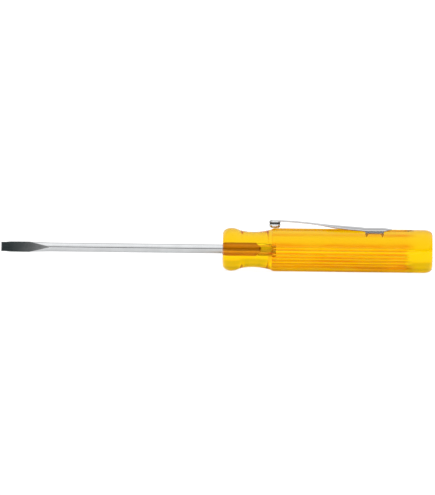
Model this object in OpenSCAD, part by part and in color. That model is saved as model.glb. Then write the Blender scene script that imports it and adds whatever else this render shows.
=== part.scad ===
// Pocket screwdriver with a slotted tip: amber fluted handle, round shank and sprung pocket clip.
// Frame: shank axis on X, tip face at x = 0, handle towards +X, clip on +Z. Millimetres.

/* [Blade] */
// exposed length, from the tip face to the front of the handle
blade_exposed = 76.2; // [60:0.2:110]
// diameter of the round shank
shank_d = 3.175; // [3:0.025:3.6]
// width of the slotted tip at its end face
tip_w = 3.2; // [2.8:0.05:3.3]
// widest part of the forged tip, just before the round shank
spread_w = 3.58; // [3.5:0.02:3.7]
// thickness of the slotted tip
tip_t = 0.6; // [0.4:0.05:0.9]
// length of the flat part of the tip
flat_len = 9.4; // [8:0.2:10.4]
// where the two ground ramps run out into the round shank
ramp_end = 16.8; // [15:0.2:17]

/* [Handle] */
// length of the handle
handle_len = 72.3; // [66:0.1:90]
// diameter of the fluted body
body_d = 14.84; // [14.6:0.02:15.2]
// diameter of the collar at the front
collar_d = 14.8; // [14:0.1:16]
// diameter of the neck at its thinnest
neck_d = 12.2; // [11.8:0.02:12.4]
// how far the shank goes into the handle
embed = 18.4; // [17:0.2:22]

/* [Flutes] */
// groups of flutes round the body
flute_groups = 3; // [2:1:4]
// flutes in each group
flutes_per_group = 7; // [1:1:8]
// angle between the flutes of a group, in degrees
flute_pitch = 10.45; // [10:0.05:11]
// how far the first group's middle is turned from the clip, in degrees
flute_turn = 110.65; // [105:0.05:115]
// depth of a flute
flute_depth = 0.25; // [0.15:0.05:0.35]
// radius of the cutter that makes a flute
flute_r = 0.7; // [0.6:0.05:0.8]

/* [Clip] */
// thickness of the spring sheet
sheet_t = 0.6; // [0.5:0.05:0.7]
// width of the saddle that sits on the handle
saddle_w = 8.2; // [7.6:0.1:8.6]
// width of the arm beside the ball
arm_w = 2.6; // [2:0.1:3.4]
// height of the top of the arm beside the ball, above the shank axis
arm_top = 10.27; // [10.1:0.01:11]
// diameter of the ball end
ball_d = 3.9; // [3.2:0.1:3.9]
// how deep the two tangs go into the handle, below the edge of the saddle
tang_depth = 2.2; // [1:0.1:3]

/* [Hidden] */
// shank, tip and the flattened drive end
shank_r = shank_d / 2;
spread_at = 9.7;
tip_land = 1.7;
spread_from = 3;
neck_down_at = 13.4;
shank_from = 17.3;
drive_t = 1.4;
drive_w = 4.8;
drive_len = 5.6;
blade_end = blade_exposed + embed;
drive_at = blade_end - drive_len;
press = 0.02;

// handle profile, with distances measured from its front face
body_r = body_d / 2;
face_r = 5.4;
face_dome = 0.1;
collar_at = 3;
collar_front = 2.9;
collar_back = 3.8;
collar_rise = collar_d / 2 - face_r;
neck_from = 6.6;
neck_at = 10.6;
neck_arc = 21.2;
shoulder_at = 18.3;
shoulder_len = 1.6;
shoulder_rise = 0.62;
shoulder_from = 152;
end_len = 3;
end_rise = 1.45;
end_at = handle_len - end_len;
smooth_end = 6.2;
flute_from = 15.5;
flute_fade = 3.6;
flute_exit = 0.02;
bore_spare = 1.2;

// clip, measured from the tip face along X
ball_x = 94.2;
ball_r = ball_d / 2;
ball_clear = 0.1;
disc_top = arm_top - 0.06;
rim_r = 0.35;
dish_drop = disc_top - body_r - ball_clear;
hinge_x = 123.7;
hinge_gap = 0.04;
saddle_r = body_r - press;
saddle_from = 125.2;
saddle_to = 132;
saddle_end = 134.5;
bevel_drop = 0.45;
tang_from = 125.3;
tang_to = 131.7;
tooth_point = 0.4;
tooth_w = 1.1;
tooth_len = 1.3;
tang_y = saddle_w / 2 - 0.05;
tang_top = 6.8;
tang_bottom = 6.42 - tang_depth;
slot_spare = 0.04;
far = 20;

// arm line: x and height of the top of the sheet, from the ball to the hinge
arm_line = [
    [ball_x, arm_top],
    [96.2, arm_top],
    [98.8, arm_top - 0.12],
    [101.3, arm_top - 0.27],
    [106.2, arm_top - 0.67],
    [110, arm_top - 1.04],
    [113.1, arm_top - 1.33],
    [117, arm_top - 1.61],
    [120.5, arm_top - 1.86],
    [hinge_x - hinge_gap / 2, arm_top - 2.07]
];

// arm outline seen from above: x and half width
arm_plan = [
    [ball_x, arm_w / 2],
    [104, arm_w / 2 + 0.15],
    [107.5, arm_w / 2 + 0.4],
    [110, arm_w / 2 + 0.95],
    [112.5, saddle_w / 2 - 1],
    [115, saddle_w / 2 - 0.45],
    [118, saddle_w / 2 - 0.15],
    [121, saddle_w / 2],
    [hinge_x + 1, saddle_w / 2]
];

// ground ramp: share of its length and of its rise
ramp_curve = [
    [0.135, 0.37],
    [0.243, 0.563],
    [0.378, 0.711],
    [0.54, 0.852],
    [0.703, 0.926],
    [0.865, 0.963],
    [1, 1]
];
ramp_rise = shank_r + 0.0625 - tip_t / 2;

// handle outline as radius and distance, front face to rear face
handle_outline = concat(
    [[0, 0], [face_r - 0.6, 0]],
    [for (a = [180:-10:90]) [
        face_r + collar_rise * sin(a),
        collar_at + collar_front * cos(a)]],
    [for (a = [80:-9:38]) [
        face_r + collar_rise * sin(a),
        collar_at + collar_back * cos(a)]],
    [[neck_d / 2 + 0.56, neck_from - 0.62], [neck_d / 2 + 0.46, neck_from - 0.35]],
    [for (k = [0:1:10]) neck_point(neck_from + k)],
    [for (a = [shoulder_from:-12.4:90]) [
        body_r - shoulder_rise + shoulder_rise * sin(a),
        shoulder_at + shoulder_len * cos(a)]],
    [for (a = [90:-10:0]) [
        body_r - end_rise + end_rise * sin(a),
        end_at + end_len * cos(a)]],
    [[0, handle_len]]
);

function neck_point(s) = [
    neck_d / 2 + neck_arc - sqrt(neck_arc * neck_arc - (s - neck_at) * (s - neck_at)),
    s
];

function mix(a, b, share) = a + (b - a) * share;

function reversed(list) = [for (i = [len(list) - 1:-1:0]) list[i]];

$fn = 64;

// turns a profile of [radius, distance] about X, starting at x = from
module lathe(outline, from = 0)
{
    translate([from, 0, 0])
        rotate([0, 90, 0])
            rotate_extrude($fn = 96)
                polygon(outline);
}

// side view polygon, [x, z], run across the whole width
module side_slab(outline)
{
    rotate([90, 0, 0])
        linear_extrude(height = 2 * far, center = true)
            polygon(outline);
}

// plan view polygon, [x, y], run through the whole height
module plan_slab(outline, depth = 2 * far)
{
    linear_extrude(height = depth, center = true)
        polygon(outline);
}

// one flute cutter lying along X, with a fading rear end
module flute_cutter(length)
{
    lathe([
        [0, 0],
        [flute_r, 0],
        [flute_r, length - flute_fade],
        [flute_r - flute_depth - flute_exit, length],
        [0, length]
    ]);
}

module flutes()
{
    length = handle_len - smooth_end - flute_from;
    middle = (flutes_per_group - 1) / 2;
    for (g = [0:1:flute_groups - 1]) {
        for (k = [0:1:flutes_per_group - 1]) {
            turn = flute_turn + g * 360 / flute_groups + (k - middle) * flute_pitch;
            rotate([turn, 0, 0])
                translate([blade_exposed + flute_from, 0, body_r - flute_depth + flute_r])
                    flute_cutter(length);
        }
    }
}

// socket for the shank: a round bore and a slot for the flattened drive end
module shank_socket()
{
    translate([blade_exposed - 1, 0, 0])
        rotate([0, 90, 0])
            cylinder(h = embed + 1 + bore_spare, r = shank_r - press);
    translate([drive_at, 0, 0])
        plan_slab(drive_plan(), drive_t - 2 * press);
}

// side view of a clip tang, [x, z]: a plate with a pointed tooth at each end
function tang_outline(grow, top) = [
    [tang_from - grow, top],
    [tang_from - grow, tang_bottom + tooth_len - grow],
    [tang_from + tooth_point, tang_bottom - 2 * grow],
    [tang_from + tooth_w + 2 * grow, tang_bottom + tooth_len - grow],
    [tang_to - tooth_w - 2 * grow, tang_bottom + tooth_len - grow],
    [tang_to - tooth_point, tang_bottom - 2 * grow],
    [tang_to + grow, tang_bottom + tooth_len - grow],
    [tang_to + grow, top]
];

// both clip tangs, standing on the saddle's edges
module tang_pair(grow, top, thickness)
{
    for (side = [-1, 1]) {
        translate([0, side * tang_y, 0])
            rotate([90, 0, 0])
                linear_extrude(height = thickness, center = true)
                    polygon(tang_outline(grow, top));
    }
}

function drive_plan() = [
    [0, -shank_r + 0.1],
    [1.1, -drive_w / 2],
    [drive_len - 0.8, -drive_w / 2],
    [drive_len, -drive_w / 2 + 0.9],
    [drive_len, drive_w / 2 - 0.9],
    [drive_len - 0.8, drive_w / 2],
    [1.1, drive_w / 2],
    [0, shank_r - 0.1]
];

module handle()
{
    color([0.98, 0.7, 0.08, 0.75])
        difference() {
            lathe(handle_outline, blade_exposed);
            flutes();
            shank_socket();
            tang_pair(slot_spare, far, sheet_t - 2 * press);
        }
}

module blade()
{
    stock = [
        [0, 0],
        [tip_w / 2, 0],
        [tip_w / 2 + 0.01, tip_land],
        [spread_w / 2 - 0.05, spread_from],
        [spread_w / 2, spread_at],
        [spread_w / 2 - 0.02, spread_at + 1.2],
        [spread_w / 2 - 0.09, neck_down_at],
        [shank_r, shank_from],
        [shank_r, blade_exposed],
        [shank_r - press / 2, drive_at + 1],
        [0, drive_at + 1]
    ];
    grind = concat(
        [[0, tip_t / 2], [flat_len, tip_t / 2]],
        [for (p = ramp_curve) [mix(flat_len, ramp_end, p[0]), tip_t / 2 + ramp_rise * p[1]]],
        [[ramp_end + 0.6, shank_r + 1], [blade_end + 1, shank_r + 1]]
    );
    mirror_grind = [for (p = reversed(grind)) [p[0], -p[1]]];
    squeeze = [
        [drive_at - 1.4, shank_r + 1],
        [drive_at + 0.6, drive_t / 2],
        [blade_end + 1, drive_t / 2]
    ];
    color([0.8, 0.81, 0.82])
        union() {
            intersection() {
                lathe(stock);
                plan_slab(concat(grind, mirror_grind));
                side_slab(concat(
                    [[-1, shank_r + 1]],
                    squeeze,
                    [for (p = reversed(squeeze)) [p[0], -p[1]]],
                    [[-1, -shank_r - 1]]
                ));
            }
            translate([drive_at, 0, 0])
                plan_slab(drive_plan(), drive_t);
        }
}

module clip_base()
{
    rear = [
        [hinge_x + hinge_gap / 2, saddle_w / 2 - 0.05],
        [saddle_from, saddle_w / 2],
        [saddle_to, saddle_w / 2],
        [saddle_end, 1.7]
    ];
    other_side = [for (p = reversed(rear)) [p[0], -p[1]]];
    crown = [
        [saddle_r, hinge_x - 1],
        [arm_top - 2.07, hinge_x - 1],
        [arm_top - 2.07, hinge_x],
        [saddle_r + sheet_t, saddle_from],
        [saddle_r + sheet_t, saddle_to],
        [saddle_r + sheet_t - bevel_drop, saddle_end + 0.2],
        [saddle_r, saddle_end + 0.2]
    ];
    color([0.78, 0.79, 0.8])
        union() {
            intersection() {
                lathe(crown);
                translate([0, 0, far])
                    plan_slab(concat(rear, other_side));
            }
            tang_pair(0, tang_top, sheet_t);
        }
}

module clip_arm()
{
    other_side = [for (p = reversed(arm_plan)) [p[0], -p[1]]];
    sheet = concat(
        [for (p = arm_line) [p[1], p[0]]],
        [for (p = reversed(arm_line)) [p[1] - sheet_t, p[0]]]
    );
    ball = concat(
        [[0, disc_top], [ball_r - rim_r, disc_top]],
        [for (a = [60:-30:0]) [
            ball_r - rim_r + rim_r * cos(a),
            disc_top - rim_r + rim_r * sin(a)]],
        [for (a = [0:10:90]) [
            ball_r * cos(a),
            disc_top - 0.6 - (dish_drop - 0.6) * sin(a)]]
    );
    color([0.78, 0.79, 0.8])
        union() {
            intersection() {
                lathe(sheet);
                translate([0, 0, far])
                    plan_slab(concat(arm_plan, other_side));
            }
            translate([ball_x, 0, 0])
                rotate_extrude($fn = 64)
                    polygon(ball);
        }
}

handle();
blade();
clip_base();
clip_arm();
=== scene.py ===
"""Pocket screwdriver: amber fluted handle, chromed shank with a blackened slotted tip, sprung pocket clip.

Frame, as the CAD: shank axis on X with the tip face at x = 0, handle towards +X, clip on +Z.
Lengths are millimetres until mesh_object() makes vertices of them; MM turns one into metres.
"""

import math

import bmesh
import bpy
from mathutils import Matrix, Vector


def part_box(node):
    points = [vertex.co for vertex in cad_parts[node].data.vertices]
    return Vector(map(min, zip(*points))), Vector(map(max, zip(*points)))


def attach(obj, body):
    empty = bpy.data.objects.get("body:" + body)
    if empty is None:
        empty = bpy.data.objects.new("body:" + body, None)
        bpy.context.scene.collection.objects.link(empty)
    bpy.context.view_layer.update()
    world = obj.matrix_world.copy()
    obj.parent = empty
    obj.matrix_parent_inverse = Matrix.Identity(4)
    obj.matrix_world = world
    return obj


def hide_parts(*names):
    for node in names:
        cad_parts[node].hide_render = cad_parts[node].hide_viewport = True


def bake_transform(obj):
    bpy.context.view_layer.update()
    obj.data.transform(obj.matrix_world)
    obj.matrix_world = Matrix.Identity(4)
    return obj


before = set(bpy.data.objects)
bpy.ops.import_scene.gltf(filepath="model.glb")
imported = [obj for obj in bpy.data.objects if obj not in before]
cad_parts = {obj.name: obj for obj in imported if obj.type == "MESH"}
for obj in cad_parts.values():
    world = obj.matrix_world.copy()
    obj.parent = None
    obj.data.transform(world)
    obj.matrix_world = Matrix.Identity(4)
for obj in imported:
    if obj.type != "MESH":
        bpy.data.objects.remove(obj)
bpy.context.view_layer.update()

MM = 0.001


def span(node):
    """Lowest and highest corner of a CAD node, in millimetres."""
    low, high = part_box(node)
    return [v / MM for v in low], [v / MM for v in high]


# ---------------------------------------------------------------- driving dimensions, in millimetres
handle_low, handle_high = span("handle")
blade_high = span("blade")[1]
base_low, base_high = span("clip_base")
arm_high = span("clip_arm")[1]

HANDLE_FRONT = handle_low[0]
HANDLE_LEN = handle_high[0] - handle_low[0]
BODY_R = handle_high[2]
# handle: face, collar, waisted neck, shoulder and rounded end; AT, FROM and TO lie behind its front face
FACE_R = 5.4
FACE_DOME = 0.1
COLLAR_R = BODY_R - 0.02
COLLAR_AT = 3.0
COLLAR_BACK = 3.8
NECK_R = 6.1
NECK_FROM = 6.6
NECK_AT = 10.6
NECK_TO = 16.6
NECK_ARC = 21.2
COLLAR_FOOT = (4.6, 10.0)
SHOULDER_AT = 18.3
SHOULDER_LEN = 1.6
SHOULDER_RISE = 0.62
END_LEN = 3.0
END_RISE = 1.45

# blade: forged tip with ground flats, round shank, and a flattened drive end inside the handle
SHANK_R = 1.5875
BLADE_END = blade_high[0]
TIP_HALF_T = 0.3
FLAT_LEN = 9.4
BLACK_END = 9.9
# half thickness where the flats run out into the shank, and half width of the forged tip, along X
RAMP = [
    (FLAT_LEN, TIP_HALF_T), (10.4, 0.8), (11.2, 1.06), (12.2, 1.26), (13.4, 1.45), (14.6, 1.55),
    (15.8, 1.6), (16.8, 1.65),
]
RAMP_END = RAMP[-1][0]
FORGED = [
    (0, 1.595), (1.6, 1.6), (2.2, 1.67), (3.0, 1.74), (5.2, 1.765), (9.7, 1.785), (11, 1.765),
    (13.4, 1.7), (15.5, 1.63), (17, SHANK_R), (18, SHANK_R),
]
DRIVE_LEN = 5.6
DRIVE_AT = BLADE_END - DRIVE_LEN
DRIVE_HALF_T = 0.7
DRIVE_HALF_W = 2.4
DRIVE_BEVEL = 0.8
BORE_R = SHANK_R - 0.02
BORE_END = BLADE_END + 0.04

# flutes: FLUTE_TURN is the angle of the front group's middle, from +Z towards -Y
FLUTE_GROUPS = 3
FLUTE_TURN = 110.65
FLUTES_IN_GROUP = 7
FLUTE_PITCH = 10.45
FLUTE_DEPTH = 0.25
FLUTE_R = 0.7
FLUTE_AXIS_R = BODY_R - FLUTE_DEPTH + FLUTE_R
FLUTE_FROM = HANDLE_FRONT + 15
FLUTE_END = HANDLE_FRONT + HANDLE_LEN - 6.2
FLUTE_FADE = 3.6

# pocket clip
SHEET_T = 0.6
SADDLE_R = BODY_R - 0.02
SADDLE_HALF_W = 4.1
BALL_X = 94.2
BALL_R = 1.95
ARM_FROM = 95.15
ARM_TOP = arm_high[2]
HINGE_X = 123.7
CLIP_END = base_high[0]
TANG_X = (125.3, 131.7)
TANG_Y = 4.05
TANG_TOP = 6.75
TANG_LOW = base_low[2]
TOOTH_POINT = 0.4
TOOTH_W = 1.1
TANG_EDGE = TANG_LOW + 1.3

# a distance that cuts nothing
FAR = 99.0


# ---------------------------------------------------------------- small maths
def mix(a, b, t):
    """a at t = 0, b at t = 1."""
    return a + (b - a) * t


def smooth(t):
    """0 to 1 with flat ends."""
    t = min(max(t, 0.0), 1.0)
    return t * t * (3 - 2 * t)


def steps(a, b, n):
    """n + 1 values from a to b."""
    return [mix(a, b, i / n) for i in range(n + 1)]


def soft_min(a, b, k):
    """The smaller of a and b, rounded where they are less than k apart."""
    h = max(k - abs(a - b), 0.0) / k
    return min(a, b) - h * h * k * 0.25


def curve_through(points, x):
    """Smooth height at x of a curve through (x, height) points, which come in order of x."""
    if x <= points[0][0]:
        return points[0][1]
    if x >= points[-1][0]:
        return points[-1][1]
    i = max(j for j in range(len(points) - 1) if points[j][0] <= x)
    x0, y0 = points[i]
    x1, y1 = points[i + 1]

    def slope(j):
        a = points[max(j - 1, 0)]
        b = points[min(j + 1, len(points) - 1)]
        return (b[1] - a[1]) / (b[0] - a[0])

    d = x1 - x0
    t = (x - x0) / d
    t2, t3 = t * t, t * t * t
    return (
        y0 * (2 * t3 - 3 * t2 + 1)
        + slope(i) * d * (t3 - 2 * t2 + t)
        + y1 * (3 * t2 - 2 * t3)
        + slope(i + 1) * d * (t3 - t2)
    )


def line_through(points, x):
    """Height at x of the straight lines that join (x, height) points."""
    i = max(j for j in range(len(points) - 1) if points[j][0] <= x)
    (x0, y0), (x1, y1) = points[i], points[i + 1]
    return mix(y0, y1, (x - x0) / (x1 - x0)) if x1 > x0 else y1


# ---------------------------------------------------------------- meshes
def mesh_object(name, verts, faces, face_slots=None):
    """A smooth-shaded object from vertices in millimetres."""
    mesh = bpy.data.meshes.new(name)
    mesh.from_pydata([(x * MM, y * MM, z * MM) for x, y, z in verts], [], faces)
    mesh.validate()
    for i, poly in enumerate(mesh.polygons):
        poly.use_smooth = True
        if face_slots:
            poly.material_index = face_slots[i]
    obj = bpy.data.objects.new(name, mesh)
    bpy.context.scene.collection.objects.link(obj)
    return obj


def loft(name, rings, first=None, last=None, slots=None):
    """Closed skin over rings of equal length, with a fan to a point at each end.

    slots gives the material slot of the faces after each ring, as slots(ring, place in ring)."""
    n = len(rings[0])
    verts = [p for ring in rings for p in ring]
    faces, marks = [], []
    for r in range(len(rings) - 1):
        for k in range(n):
            a, b = r * n + k, r * n + (k + 1) % n
            faces.append((a, b, b + n, a + n))
            marks.append(slots(r, k) if slots else 0)
    for point, r in ((first, 0), (last, len(rings) - 1)):
        verts.append(point)
        tip = len(verts) - 1
        for k in range(n):
            a, b = r * n + k, r * n + (k + 1) % n
            faces.append((b, a, tip) if r == 0 else (a, b, tip))
            marks.append(slots(max(r - 1, 0), k) if slots else 0)
    obj = mesh_object(name, verts, faces, marks)
    outward(obj)
    return obj


def outward(obj):
    """Turns every face of a closed mesh to look outward."""
    bm = bmesh.new()
    bm.from_mesh(obj.data)
    bmesh.ops.recalc_face_normals(bm, faces=bm.faces)
    bm.to_mesh(obj.data)
    bm.free()


def bake_modifiers(obj):
    """Replaces an object's mesh with its modified one."""
    graph = bpy.context.evaluated_depsgraph_get()
    done = bpy.data.meshes.new_from_object(obj.evaluated_get(graph))
    obj.modifiers.clear()
    obj.data = done


def unite(target, parts):
    """One closed mesh from several that overlap."""
    for part in parts:
        mod = target.modifiers.new("unite", "BOOLEAN")
        mod.operation = "UNION"
        mod.solver = "EXACT"
        mod.object = part
    bake_modifiers(target)
    for part in parts:
        bpy.data.objects.remove(part)


def weld(obj, distance=0.0008):
    """Joins points that lie closer together than distance, so that no sliver faces are left."""
    bm = bmesh.new()
    bm.from_mesh(obj.data)
    bmesh.ops.remove_doubles(bm, verts=bm.verts, dist=distance * MM)
    bmesh.ops.dissolve_degenerate(bm, edges=bm.edges, dist=distance * MM)
    bm.to_mesh(obj.data)
    bm.free()


def soften_edges(obj, width, angle=35, segments=2):
    """Rounds off the sharp edges by a real small radius."""
    mod = obj.modifiers.new("edge", "BEVEL")
    mod.width = width * MM
    mod.segments = segments
    mod.limit_method = "ANGLE"
    mod.angle_limit = math.radians(angle)
    bake_modifiers(obj)


# ---------------------------------------------------------------- handle
def flute_centres():
    """Angles of the flutes round the handle, from +Z towards -Y."""
    middle = (FLUTES_IN_GROUP - 1) / 2
    return [
        (FLUTE_TURN + g * 360 / FLUTE_GROUPS + (k - middle) * FLUTE_PITCH) % 360
        for g in range(FLUTE_GROUPS)
        for k in range(FLUTES_IN_GROUP)
    ]


def flute_angles():
    """Angles of the section's points, close together at the edges of each flute."""
    edge = math.degrees(
        math.acos((BODY_R**2 + FLUTE_AXIS_R**2 - FLUTE_R**2) / (2 * BODY_R * FLUTE_AXIS_R))
    )
    half = FLUTE_PITCH / 2
    offsets = [edge * t for t in (0, 0.22, 0.42, 0.6, 0.76, 0.88, 0.96, 1.02, 1.09)]
    offsets += [mix(edge, half, 0.6), half]
    centres = flute_centres()
    angles = {round((c + o * side) % 360, 4) for c in centres for o in offsets for side in (-1, 1)}
    angles |= {a for a in range(0, 360, 2) if off_flute(a, centres) > half + 0.4}
    return sorted(angles)


def off_flute(angle, centres):
    """Degrees between that direction and the middle of the nearest flute."""
    return min(abs((angle - c + 180) % 360 - 180) for c in centres)


def flute_floor(angle, cutter_r, centres):
    """Distance from the axis to the wall of the nearest flute, in that direction."""
    off = off_flute(angle, centres)
    side = FLUTE_AXIS_R * math.sin(math.radians(off))
    if side >= cutter_r:
        return FAR
    return FLUTE_AXIS_R * math.cos(math.radians(off)) - math.sqrt(cutter_r**2 - side**2)


def arc(middle, base, along, rise, start, end, n):
    """Points of a quarter or less of an ellipse, from start to end degrees, 90 being its crest."""
    turns = [math.radians(a) for a in steps(start, end, n)]
    return [(middle + along * math.cos(t), base + rise * math.sin(t)) for t in turns]


def handle_profile():
    """(distance from the front face, radius) down the outside of the handle."""
    rise = COLLAR_R - FACE_R
    fade_to = FLUTE_END - HANDLE_FRONT
    points = [(0.0, 2.4), (0.0, 3.4), (0.012, 4.2), (0.04, 4.85)]
    points += arc(COLLAR_AT, FACE_R, COLLAR_AT - FACE_DOME, rise, 180, 90, 14)
    points += arc(COLLAR_AT, FACE_R, COLLAR_BACK, rise, 84, 44, 9)
    points += [(NECK_FROM - 0.62, NECK_R + 0.56), (NECK_FROM - 0.35, NECK_R + 0.47)]
    for s in steps(NECK_FROM, NECK_TO, 24):
        points.append((s, NECK_R + NECK_ARC - math.sqrt(NECK_ARC**2 - (s - NECK_AT) ** 2)))
    points += arc(SHOULDER_AT, BODY_R - SHOULDER_RISE, SHOULDER_LEN, SHOULDER_RISE, 152, 90, 14)
    points += [(19.5, BODY_R), (30, BODY_R), (45, BODY_R), (58, BODY_R)]
    points += [(s, BODY_R) for s in steps(fade_to - FLUTE_FADE, fade_to + 0.1, 14)]
    points += arc(HANDLE_LEN - END_LEN, BODY_R - END_RISE, END_LEN, END_RISE, 90, 0, 16)
    return points + [(HANDLE_LEN, 4.6), (HANDLE_LEN, 2.6)]


def filleted(points, start, end, step=0.12, passes=14):
    """The same profile with its inner corners between start and end rounded out."""
    before = [p for p in points if p[0] < start]
    after = [p for p in points if p[0] > end]
    row = [(s, line_through(points, s)) for s in steps(start, end, int((end - start) / step))]
    for _ in range(passes):
        row = [row[0]] + [
            (b[0], 0.25 * a[1] + 0.5 * b[1] + 0.25 * c[1]) for a, b, c in zip(row, row[1:], row[2:])
        ] + [row[-1]]
    return before + row + after


def bore_profile():
    """(x, radius) of the shank's bore, from its blind end to the handle's front face."""
    inside = [(BORE_END, BORE_R * 0.6), (BORE_END, BORE_R - 0.1), (BORE_END - 0.1, BORE_R)]
    inside += [(x, BORE_R) for x in (DRIVE_AT + 4, DRIVE_AT + 2, DRIVE_AT, 82, HANDLE_FRONT + 0.25)]
    return inside + [(HANDLE_FRONT + 0.04, BORE_R + 0.1), (HANDLE_FRONT, BORE_R + 0.3)]


def make_handle():
    """Handle as one skin: up the bore, over the front face and down the fluted outside."""
    angles = flute_angles()
    centres = flute_centres()
    rings = [[around(x, r, a) for a in angles] for x, r in bore_profile()]
    for s, r in filleted(handle_profile(), *COLLAR_FOOT):
        x = HANDLE_FRONT + s
        left = min(max((FLUTE_END - x) / FLUTE_FADE, 0.0), 1.0)
        cutter = mix(FLUTE_R - FLUTE_DEPTH, FLUTE_R, left)
        ring = []
        for a in angles:
            floor = flute_floor(a, cutter, centres) if left > 0 and x > FLUTE_FROM else FAR
            ring.append(around(x, soft_min(r, floor, 0.05), a))
        rings.append(ring)
    rear = HANDLE_FRONT + HANDLE_LEN
    return loft("handle_amber", rings, first=(BORE_END, 0, 0), last=(rear, 0, 0))


def around(x, r, angle):
    """Point at radius r, at an angle from +Z towards -Y."""
    a = math.radians(angle)
    return (x, -r * math.sin(a), r * math.cos(a))


# ---------------------------------------------------------------- blade
ARC_POINTS = 22
FLAT_POINTS = 18
WIDEST_ARC = math.radians(80)


def blade_grind(x):
    """Half thickness left by the grinding, measured along Y."""
    if x <= FLAT_LEN:
        return TIP_HALF_T
    return curve_through(RAMP, x) if x < RAMP_END else FAR


def drive_shape(x, r):
    """How high the section may reach along Z, and how much wider it is along Y, at x."""
    flat = smooth((x - DRIVE_AT + 1.4) / 2.0)
    squeeze = mix(SHANK_R + 0.01, DRIVE_HALF_T, flat) if x > RAMP_END + 1 else r
    widen = mix(1.0, DRIVE_HALF_W / SHANK_R, smooth((x - DRIVE_AT + 0.2) / 1.3))
    bevel_from = BLADE_END - DRIVE_BEVEL
    if x > bevel_from:
        widen *= mix(1.0, 0.66, (x - bevel_from) / DRIVE_BEVEL)
    return squeeze, widen


def blade_ring(x):
    """Section of the blade: two round ends on +-Z joined by two ground flats on +-Y."""
    r, h = curve_through(FORGED, x), blade_grind(x)
    reach = min(math.asin(min(h / r, 1.0)), WIDEST_ARC)
    squeeze, widen = drive_shape(x, r)
    ring = []
    for side in (1, -1):
        for a in steps(-reach, reach, ARC_POINTS - 1):
            ring.append((r * math.sin(a) * side, r * math.cos(a) * side))
        edge = r * math.cos(reach)
        for z in steps(edge, -edge, FLAT_POINTS + 1)[1:-1]:
            ring.append((min(h, math.sqrt(r * r - z * z)) * side, z * side))
    return [(x, y * widen, min(max(z, -squeeze), squeeze)) for y, z in ring]


def make_blade():
    xs = [0.0, 0.06, 0.6] + steps(1.2, 3.4, 11) + steps(3.8, 9.2, 12) + steps(FLAT_LEN, RAMP_END, 44)
    xs += steps(17.0, 17.4, 2) + [18.5, 22, 30, 40, 52, 64, 75, 80, 85]
    xs += steps(DRIVE_AT - 1.6, DRIVE_AT + 1.4, 20) + [DRIVE_AT + 2.4, DRIVE_AT + 3.6]
    xs += steps(BLADE_END - DRIVE_BEVEL, BLADE_END, 4)

    def slots(r, k):
        ground = k % (ARC_POINTS + FLAT_POINTS) >= ARC_POINTS - 1
        return 1 if xs[r] < (RAMP_END - 0.4 if ground else BLACK_END) else 0

    rings = [blade_ring(x) for x in xs]
    obj = loft("blade_steel", rings, first=(0, 0, 0), last=(BLADE_END, 0, 0), slots=slots)
    soften_edges(obj, 0.035, angle=30)
    return obj


# ---------------------------------------------------------------- pocket clip
SADDLE_TOP = SADDLE_R + SHEET_T
# drop of the arm's upper face below ARM_TOP, along X
ARM_DROP = [
    (BALL_X, 0.01), (96.2, 0.02), (98.8, 0.12), (101.3, 0.27), (106.2, 0.67), (110, 1.04),
    (113.1, 1.33), (117, 1.61), (120.5, 1.86), (HINGE_X, 2.07),
]
# upper and lower faces of the strip above the handle's axis, and its half width, along X
ARM_LINE = [(x, ARM_TOP - drop) for x, drop in ARM_DROP] + [
    (125.4, SADDLE_TOP), (127, SADDLE_TOP), (131.4, SADDLE_TOP), (132.2, SADDLE_TOP - 0.02),
    (CLIP_END, SADDLE_TOP - 0.42),
]
UNDER_LINE = [(x, ARM_TOP - SHEET_T) for x, drop in ARM_DROP[:2]]
UNDER_LINE += [(x, ARM_TOP - drop - SHEET_T) for x, drop in ARM_DROP[2:]]
UNDER_LINE += [(x, SADDLE_R) for x in (125.4, 127, CLIP_END)]
ARM_PLAN = [
    (BALL_X, 1.3), (99, 1.32), (104, 1.45), (107.5, 1.7), (110, 2.25), (112.5, 3.05),
    (115, 3.62), (118, 3.93), (121, 4.06), (124, SADDLE_HALF_W - 0.01), (128, SADDLE_HALF_W),
    (131.3, SADDLE_HALF_W), (132.2, 3.9), (133.4, 2.9), (134.2, 2.1), (CLIP_END, 1.7),
]
EDGE_ROUND = (0.13, 0.25)


def clip_ring(x, inset=0.0):
    """Section of the sheet at x: a bent strip with rounded edges, hugging the handle's axis."""
    top = curve_through(ARM_LINE, x) - inset
    under = curve_through(UNDER_LINE, x) + inset
    half = curve_through(ARM_PLAN, x) - inset
    middle, half_t = (top + under) / 2, (top - under) / 2
    reach = math.asin(half / top) * middle
    round_r = mix(EDGE_ROUND[0], min(EDGE_ROUND[1], half_t * 0.85), smooth((half - 1.5) / 2.5))
    outline = []
    for sy, sn, a0 in ((1, 1, 0), (-1, 1, 90), (-1, -1, 180), (1, -1, 270)):
        for a in steps(a0, a0 + 90, 4):
            a = math.radians(a)
            outline.append((sy * (reach - round_r) + round_r * math.cos(a),
                            sn * (half_t - round_r) + round_r * math.sin(a)))
        if a0 in (0, 180):
            corner = sy * (reach - round_r)
            outline += [(side, sn * half_t) for side in steps(corner, -corner, 16)[1:-1]]
    ring = []
    for s, n in outline:
        a = s / middle
        ring.append((x, (middle + n) * math.sin(a), (middle + n) * math.cos(a)))
    return ring


RIM_SLOT, CRIMP_SLOT, DOME_SLOT = 1, 2, 3
BALL_TOP = ARM_TOP - 0.06
BALL_LOW = BODY_R + 0.04
DISH_DEPTH = 0.44
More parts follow.
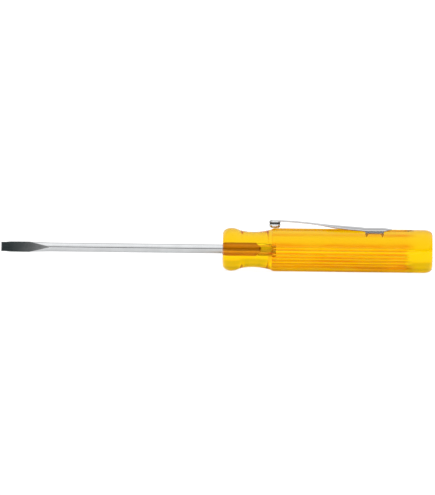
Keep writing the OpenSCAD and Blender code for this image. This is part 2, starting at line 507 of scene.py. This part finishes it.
# (radius, drop below the ball's top), from its middle outward and down
DISH = [(0.35, 0.42), (0.75, 0.36), (1.0, 0.24), (1.12, 0.1), (1.22, 0.02), (1.35, 0.0)]
RIM = [(1.6, 0.12), (1.76, 0.26), (1.88, 0.46), (BALL_R, 0.62), (BALL_R, 0.84)]
CRIMP = [(BALL_R - 0.04, 0.9), (BALL_R - 0.16, 0.94), (BALL_R - 0.16, 1.36), (BALL_R - 0.04, 1.4)]
DOME = [(1.92, 1.46), (1.91, 1.7), (1.88, 1.98), (1.81, 2.24), (1.7, 2.42), (1.5, 2.58), (1.15, 2.69)]


def make_ball():
    """Round end of the clip: a shallow dished disc with a domed underside, turned about Z."""
    outline = [(r, BALL_TOP - drop) for r, drop in DISH + RIM + CRIMP + DOME] + [(0.6, BALL_LOW + 0.01)]
    turns = [math.radians(a) for a in range(0, 360, 6)]
    rings = [[(BALL_X + r * math.cos(t), r * math.sin(t), z) for t in turns] for r, z in outline]
    crimp_from = len(DISH + RIM) - 1
    dome_from = crimp_from + len(CRIMP)

    def slots(r, k):
        return RIM_SLOT if r < crimp_from else CRIMP_SLOT if r < dome_from else DOME_SLOT

    first = (BALL_X, 0, BALL_TOP - DISH_DEPTH)
    return loft("clip_ball", rings, first=first, last=(BALL_X, 0, BALL_LOW), slots=slots)


def make_tang(side):
    """Tab bent down from the saddle's edge into the handle, with a pointed tooth at each end."""
    x0, x1 = TANG_X
    outline = [
        (x0, TANG_TOP), (x0, TANG_EDGE), (x0 + TOOTH_POINT, TANG_LOW), (x0 + TOOTH_W, TANG_EDGE),
        (x1 - TOOTH_W, TANG_EDGE), (x1 - TOOTH_POINT, TANG_LOW), (x1, TANG_EDGE), (x1, TANG_TOP),
    ]
    n = len(outline)
    verts = [(x, side * TANG_Y + y, z) for y in (-SHEET_T / 2, SHEET_T / 2) for x, z in outline]
    faces = [tuple(range(n)), tuple(range(2 * n - 1, n - 1, -1))]
    faces += [(i, (i + 1) % n, n + (i + 1) % n, n + i) for i in range(n)]
    obj = mesh_object("tang", verts, faces)
    outward(obj)
    return obj


def make_clip(materials):
    """The whole strip, with its ball and tangs, as one closed mesh."""
    xs = [ARM_FROM] + steps(95.25, 124, 92) + steps(124.3, 131.2, 22) + steps(131.4, CLIP_END - 0.06, 26)
    rings = [clip_ring(x) for x in xs] + [clip_ring(CLIP_END, 0.05)]
    first = (xs[0], 0, (rings[0][0][2] + rings[0][-1][2]) / 2)
    middle = sum(p[2] for p in sorted(rings[-1], key=lambda p: abs(p[1]))[:2]) / 2
    strip = loft("pocket_clip", rings, first=first, last=(CLIP_END, 0, middle))
    parts = [make_ball(), make_tang(1), make_tang(-1)]
    for obj in [strip] + parts:
        for material in materials:
            obj.data.materials.append(material)
    unite(strip, parts)
    soften_edges(strip, 0.06, angle=40)
    weld(strip)
    strip.data.set_sharp_from_angle(angle=math.radians(40))
    return strip


# ---------------------------------------------------------------- material helpers
class Nodes:
    """Short way to write a node tree."""

    def __init__(self, tree):
        self.tree = tree

    def add(self, kind, inputs=None, **settings):
        node = self.tree.nodes.new(kind)
        for key, value in settings.items():
            setattr(node, key, value)
        for key, value in (inputs or {}).items():
            if isinstance(value, bpy.types.NodeSocket):
                self.tree.links.new(value, node.inputs[key])
            else:
                node.inputs[key].default_value = value
        return node

    def link(self, a, b):
        self.tree.links.new(a, b)

    def math(self, operation, a, b=0.0, clamp=False):
        node = self.add("ShaderNodeMath", {0: a, 1: b}, operation=operation)
        node.use_clamp = clamp
        return node.outputs[0]

    def fit(self, value, low, high, to_low, to_high):
        node = self.add("ShaderNodeMapRange", {
            "Value": value, "From Min": low, "From Max": high, "To Min": to_low, "To Max": to_high})
        return node.outputs["Result"]

    def noise(self, where, scale, detail=4.0, rough=0.5):
        node = self.add("ShaderNodeTexNoise", {
            "Vector": where, "Scale": scale, "Detail": detail, "Roughness": rough})
        return node.outputs["Fac"]

    def stretch(self, where, scale):
        node = self.add("ShaderNodeMapping", {"Vector": where, "Scale": scale})
        return node.outputs["Vector"]

    def blend(self, factor, a, b):
        node = self.add("ShaderNodeMix", data_type="RGBA")
        for socket, value in ((node.inputs[0], factor), (node.inputs[6], a), (node.inputs[7], b)):
            if isinstance(value, bpy.types.NodeSocket):
                self.link(value, socket)
            else:
                socket.default_value = value
        return node.outputs[2]

    def ramp(self, factor, stops):
        node = self.add("ShaderNodeValToRGB", {"Fac": factor})
        marks = node.color_ramp.elements
        while len(marks) < len(stops):
            marks.new(1.0)
        for mark, (place, tone) in zip(marks, stops):
            mark.position = place
            mark.color = (tone, tone, tone, 1)
        return node.outputs["Color"]

    def bump(self, height, distance, strength=1.0, under=None):
        inputs = {"Height": height, "Distance": distance, "Strength": strength}
        if under is not None:
            inputs["Normal"] = under
        return self.add("ShaderNodeBump", inputs).outputs["Normal"]


def new_material(name):
    """A material, its nodes, its one shader and the object's own coordinates in metres."""
    material = bpy.data.materials.new(name)
    material.use_nodes = True
    tree = material.node_tree
    tree.nodes.clear()
    n = Nodes(tree)
    shader = n.add("ShaderNodeBsdfPrincipled")
    n.add("ShaderNodeOutputMaterial", {"Surface": shader.outputs[0]})
    where = n.add("ShaderNodeTexCoord").outputs["Object"]
    return material, n, shader, where


# ---------------------------------------------------------------- materials
# painted shade laid as streaks of deeper amber along the rod: how deep it is, against the angle from straight
# down (0) round the front (0.25) and the top (0.5); deepest on the lower front and the underside
SHADE_STREAKS = [
    (0.0, 0.1), (0.055, 0.55), (0.09, 0.95), (0.125, 0.9), (0.143, 0.0), (0.24, 0.05), (0.262, 0.5),
    (0.284, 1.0), (0.308, 0.25), (0.336, 0.0), (0.35, 0.0), (0.374, 1.0), (0.4, 0.0), (0.5, 0.0),
    (0.6, 0.2), (0.8, 0.05), (1.0, 0.1),
]
# painted shade in the flutes, darker towards the bottom and clear on top: how deep it is, against the same
# angle
GROOVE_SHADE = [
    (0.0, 0.9), (0.22, 1.0), (0.3, 0.6), (0.4, 0.15), (0.5, 0.0), (0.6, 0.2), (0.75, 0.6), (1.0, 0.9),
]
STREAKS_FROM = HANDLE_FRONT + 16.9
STREAKS_TO = FLUTE_END - 3
CLEAR_AMBER = (0.955, 0.685, 0.78, 1)
# the deep amber is the colour of the painted shade in the streaks and the flutes
DEEP_AMBER = (0.82, 0.165, 0.11, 1)
AMBER_IOR = 1.48
AMBER_DENSITY = 600.0


def amber_streaks_and_shade(n, where):
    """Painted shade: streaks of deeper amber along the fluted part of the handle, deepest on the lower front
    and the underside, and deeper amber in the flutes towards the bottom.
    """
    place = n.add("ShaderNodeSeparateXYZ", {"Vector": where})
    x, y, z = place.outputs[0], place.outputs[1], place.outputs[2]
    turn = n.math("ARCTAN2", n.math("MULTIPLY", y, -1.0), n.math("MULTIPLY", z, -1.0))
    waver = n.noise(n.stretch(where, (40, 300, 300)), 1.0, 3.0)
    turn = n.math("ADD", turn, n.fit(waver, 0.3, 0.7, -0.03, 0.03))
    angle = n.math("FRACT", n.math("ADD", n.math("DIVIDE", turn, 2 * math.pi), 1.0))
    deep = n.ramp(angle, SHADE_STREAKS)
    starts = n.fit(x, STREAKS_FROM * MM, STREAKS_FROM * MM + 0.0002, 0.0, 1.0)
    ends = n.fit(x, STREAKS_TO * MM, STREAKS_TO * MM + 0.004, 1.0, 0.0)
    broken = n.fit(n.noise(n.stretch(where, (70, 260, 260)), 1.0, 3.0), 0.42, 0.62, 0.5, 1.0)
    radius = n.math("SQRT", n.math("ADD", n.math("MULTIPLY", y, y), n.math("MULTIPLY", z, z)))
    # painted shade in the flutes, darker towards the bottom and clear on top
    groove_shade = n.fit(radius, (BODY_R - 0.2) * MM, (BODY_R - 0.06) * MM, 1.0, 0.0)
    groove_shade = n.math("MULTIPLY", groove_shade, n.ramp(angle, GROOVE_SHADE))
    groove_shade = n.math("MULTIPLY", groove_shade, n.fit(broken, 0.5, 1.0, 0.7, 1.0))
    deep = n.math("MAXIMUM", n.math("MULTIPLY", deep, broken), groove_shade)
    return n.math("MULTIPLY", deep, n.math("MULTIPLY", starts, ends))


def amber_acetate():
    """Clear amber acetate: coloured by its depth and by painted shade in streaks and flutes, polished, with
    fine handling scratches.
    """
    material, n, shader, where = new_material("amber_acetate")
    shader.inputs["Transmission Weight"].default_value = 1.0
    shader.inputs["IOR"].default_value = AMBER_IOR
    shader.inputs["Specular Tint"].default_value = (1.0, 0.8, 0.2, 1)
    # the base colour carries the painted shade of the streaks and the flutes
    tint = n.blend(amber_streaks_and_shade(n, where), CLEAR_AMBER, DEEP_AMBER)
    n.link(tint, shader.inputs["Base Color"])
    cloud = n.noise(where, 260.0, 3.0)
    scuff = n.noise(n.stretch(where, (220, 1500, 1500)), 1.0, 6.0, 0.7)
    haze = n.math("MULTIPLY", n.fit(cloud, 0.42, 0.7, 0.0, 1.0), n.fit(scuff, 0.45, 0.75, 0.2, 1.0))
    n.link(n.fit(haze, 0.0, 1.0, 0.02, 0.11), shader.inputs["Roughness"])
    normal = n.bump(n.noise(where, 420.0, 2.0), 0.00006, 0.25)
    n.link(n.bump(scuff, 0.000008, 0.35, normal), shader.inputs["Normal"])
    depth = {"Color": (0.999, 0.978, 0.0, 1), "Density": AMBER_DENSITY}
    volume = n.add("ShaderNodeVolumeAbsorption", depth).outputs[0]
    n.link(volume, material.node_tree.get_output_node("ALL").inputs["Volume"])
    return material


def stained_and_shaded(n, where, lines, bare_from, base, rough):
    """Colour and roughness with the steel bare and stained brown beyond bare_from, painted darker on its
    upper part as painted shade and lighter below as painted light, and sheared at the drive end.
    """
    place = n.add("ShaderNodeSeparateXYZ", {"Vector": where})
    x, z = place.outputs[0], place.outputs[2]
    bare = n.fit(x, bare_from * MM, (bare_from + 0.3) * MM, 0.0, 1.0)
    # painted shade and painted light: the bare steel is darker above a height just below the axis and lighter
    # beneath it
    level = n.math("ADD", z, n.fit(lines, 0.3, 0.7, -0.0001, 0.0001))
    stain_and_shade = n.blend(n.fit(level, -0.00055, -0.0004, 0.0, 1.0), (1.0, 0.62, 0.45, 1), (0.5, 0.24, 0.24, 1))
    sheared = n.fit(x, (DRIVE_AT + 0.2) * MM, (DRIVE_AT + 0.8) * MM, 0.0, 1.0)
    stain_and_shade = n.blend(sheared, stain_and_shade, (1.0, 0.95, 0.75, 1))
    rougher = n.math("ADD", n.math("MULTIPLY", bare, 0.24), n.math("MULTIPLY", sheared, 0.4))
    return n.blend(bare, base, stain_and_shade), n.math("ADD", rough, rougher)


def bright_plate(name, tint, along, dull=0.0, bare_from=None, edge=1.0):
    """Bright plated steel with faint polishing lines; edge is how bright it is at grazing angles."""
    material, n, shader, where = new_material(name)
    shader.inputs["Metallic"].default_value = 1.0
    shader.inputs["Specular Tint"].default_value = (edge, edge, edge, 1)
    cloud = n.noise(where, 300.0, 4.0, 0.6)
    darker = tuple(c * 0.93 for c in tint[:3]) + (1,)
    base = n.blend(n.fit(cloud, 0.35, 0.7, 0.0, 1.0), tint, darker)
    lines = n.noise(n.stretch(where, along), 1.0, 5.0, 0.65)
    mixed = n.math("ADD", n.math("MULTIPLY", cloud, 0.5), n.math("MULTIPLY", lines, 0.5))
    rough = n.fit(mixed, 0.3, 0.7, 0.03, 0.11)
    if bare_from is not None:
        base, rough = stained_and_shaded(n, where, lines, bare_from, base, rough)
    n.link(base, shader.inputs["Base Color"])
    n.link(n.math("ADD", rough, dull), shader.inputs["Roughness"])
    n.link(n.bump(lines, 0.000004, 0.5), shader.inputs["Normal"])
    return material


def black_oxide():
    """Blackened ground faces of the tip, going from black at the tip to grey steel where the grind runs out
    into the shank.
    """
    material, n, shader, where = new_material("black_oxide")
    shader.inputs["Metallic"].default_value = 1.0
    shader.inputs["Specular Tint"].default_value = (0.35, 0.36, 0.36, 1)
    x = n.add("ShaderNodeSeparateXYZ", {"Vector": where}).outputs[0]
    grind = n.noise(n.stretch(where, (260, 5200, 5200)), 1.0, 4.0, 0.6)
    cloud = n.noise(where, 700.0, 4.0, 0.6)
    along = n.math("ADD", x, n.fit(cloud, 0.3, 0.7, -0.0008, 0.0008))
    # from black at the tip to grey steel along the ground faces, towards the shank
    grey_fade = n.math("POWER", n.fit(along, 0.0, 0.0162, 0.0, 1.0), 2.2)
    edge = n.math("MULTIPLY", n.fit(x, 0.0007, 0.0, 0.0, 0.25), n.fit(cloud, 0.4, 0.62, 0.0, 1.0))
    base = n.blend(n.math("ADD", grey_fade, edge, clamp=True), (0.03, 0.042, 0.046, 1), (0.42, 0.42, 0.42, 1))
    base = n.blend(n.fit(grind, 0.3, 0.72, 0.0, 0.4), base, (0.09, 0.1, 0.1, 1))
    n.link(base, shader.inputs["Base Color"])
    n.link(n.fit(grind, 0.3, 0.7, 0.28, 0.45), shader.inputs["Roughness"])
    normal = n.bump(grind, 0.000008, 0.6)
    n.link(n.bump(cloud, 0.00001, 0.3, normal), shader.inputs["Normal"])
    return material


def pale_floor():
    """Plain white sweep under the tool."""
    material, n, shader, where = new_material("studio_floor")
    tone = n.blend(n.noise(where, 3.0, 2.0), (0.975, 0.975, 0.975, 1), (0.985, 0.985, 0.985, 1))
    n.link(tone, shader.inputs["Base Color"])
    shader.inputs["Roughness"].default_value = 0.9
    return material


# ---------------------------------------------------------------- studio
# half the brightness of the studio, from straight down (0) to straight up (1), behind and in front
BACK_SKY = [
    (0.0, 0.5), (0.5, 0.55), (0.6, 0.54), (0.66, 0.5), (0.71, 0.36), (0.76, 0.36), (0.8, 0.38),
    (0.85, 0.3), (0.9, 0.29), (0.95, 0.42), (0.975, 0.54), (1.0, 0.6),
]
FRONT_SKY = [
    (0.0, 0.5), (0.45, 0.45), (0.462, 0.02), (0.585, 0.02), (0.625, 0.3), (0.67, 0.5), (0.73, 0.55),
    (0.79, 0.4), (0.85, 0.56), (0.9, 0.6), (1.0, 0.6),
]
SKY_STRENGTH = 2.28
FLOOR_HALF = 6000


def make_floor():
    corners = ((-1, -1), (1, -1), (1, 1), (-1, 1))
    verts = [(x * FLOOR_HALF, y * FLOOR_HALF, -BODY_R) for x, y in corners]
    floor = mesh_object("studio_floor", verts, [(0, 1, 2, 3)])
    floor.data.materials.append(pale_floor())


def make_world():
    """Soft studio: bright overhead, white low down behind, and dark in front at the tool's own height."""
    world = bpy.data.worlds.new("studio")
    bpy.context.scene.world = world
    world.use_nodes = True
    tree = world.node_tree
    tree.nodes.clear()
    n = Nodes(tree)
    way = n.add("ShaderNodeTexCoord").outputs["Generated"]
    xyz = n.add("ShaderNodeSeparateXYZ", {"Vector": way})
    sideways, rise = n.math("ABSOLUTE", xyz.outputs[0]), xyz.outputs[2]
    height = n.fit(rise, -1.0, 1.0, 0.0, 1.0)
    behind = n.fit(xyz.outputs[1], -0.35, 0.35, 0.0, 1.0)
    tone = n.blend(behind, n.ramp(height, FRONT_SKY), n.ramp(height, BACK_SKY))
    soft_boxes = n.math("MULTIPLY", n.fit(sideways, 0.2, 0.45, 0.0, 0.2), n.fit(rise, 0.3, 0.6, 0.0, 1.0))
    tone = n.blend(soft_boxes, tone, (1.1, 1.1, 1.1, 1))
    away = n.fit(sideways, 0.55, 0.85, 0.0, 1.0)
    low = n.fit(n.math("ABSOLUTE", rise), 0.6, 0.3, 0.0, 1.0)
    tone = n.blend(n.math("MULTIPLY", away, low), tone, (0.1, 0.1, 0.1, 1))
    sky = n.add("ShaderNodeBackground", {"Color": tone, "Strength": SKY_STRENGTH})
    n.add("ShaderNodeOutputWorld", {"Surface": sky.outputs[0]})


# metres, except for the roll
CAMERA_DISTANCE = 2.5
FRAMED_HEIGHT = 0.1706
FRAME_CENTRE = (0.0745, 0.0, 0.0005)
CAMERA_ROLL = math.radians(0.68)


def make_camera():
    camera = bpy.data.cameras.new("camera")
    camera.sensor_width = 36.0
    camera.lens = camera.sensor_width * CAMERA_DISTANCE / FRAMED_HEIGHT
    camera.clip_start = 0.01
    camera.clip_end = 50
    obj = bpy.data.objects.new("camera", camera)
    x, y, z = FRAME_CENTRE
    look = Matrix.Rotation(math.radians(90), 4, "X") @ Matrix.Rotation(CAMERA_ROLL, 4, "Z")
    obj.matrix_world = Matrix.Translation((x, y - CAMERA_DISTANCE, z)) @ look
    bpy.context.scene.collection.objects.link(obj)
    bpy.context.scene.camera = obj


# ---------------------------------------------------------------- assembly
handle = make_handle()
handle.data.materials.append(amber_acetate())
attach(handle, "tool")
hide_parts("handle")

blade = make_blade()
# the part of the shank inside the handle carries painted shade on its upper side and painted light below
shank_plate = bright_plate("bright_shank", (0.63, 0.64, 0.65, 1), (2600, 220, 220), bare_from=HANDLE_FRONT)
blade.data.materials.append(shank_plate)
blade.data.materials.append(black_oxide())
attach(blade, "tool")
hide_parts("blade")

clip = make_clip([
    bright_plate("bright_spring", (0.6, 0.6, 0.61, 1), (160, 1800, 1800)),
    bright_plate("bright_rim", (0.62, 0.63, 0.64, 1), (900, 900, 900), edge=0.1),
    # near-black copy of the plate in the crimp under the rim: painted shade in the crevice
    bright_plate("crimp_painted_shade", (0.07, 0.07, 0.07, 1), (900, 900, 900), dull=0.3, edge=0.1),
    # the dome under the ball is a lighter copy of the plate, painted light, with a rougher satin finish
    bright_plate("satin_dome_painted_light", (0.78, 0.79, 0.8, 1), (900, 900, 900), dull=0.06, edge=0.05),
])
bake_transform(clip)
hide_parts("clip_base", "clip_arm")

make_floor()
make_world()
make_camera()

scene = bpy.context.scene
scene.view_settings.view_transform = "Standard"
scene.view_settings.look = "None"
scene.cycles.use_denoising = True
scene.cycles.max_bounces = 24
scene.cycles.transmission_bounces = 24
scene.cycles.glossy_bounces = 12
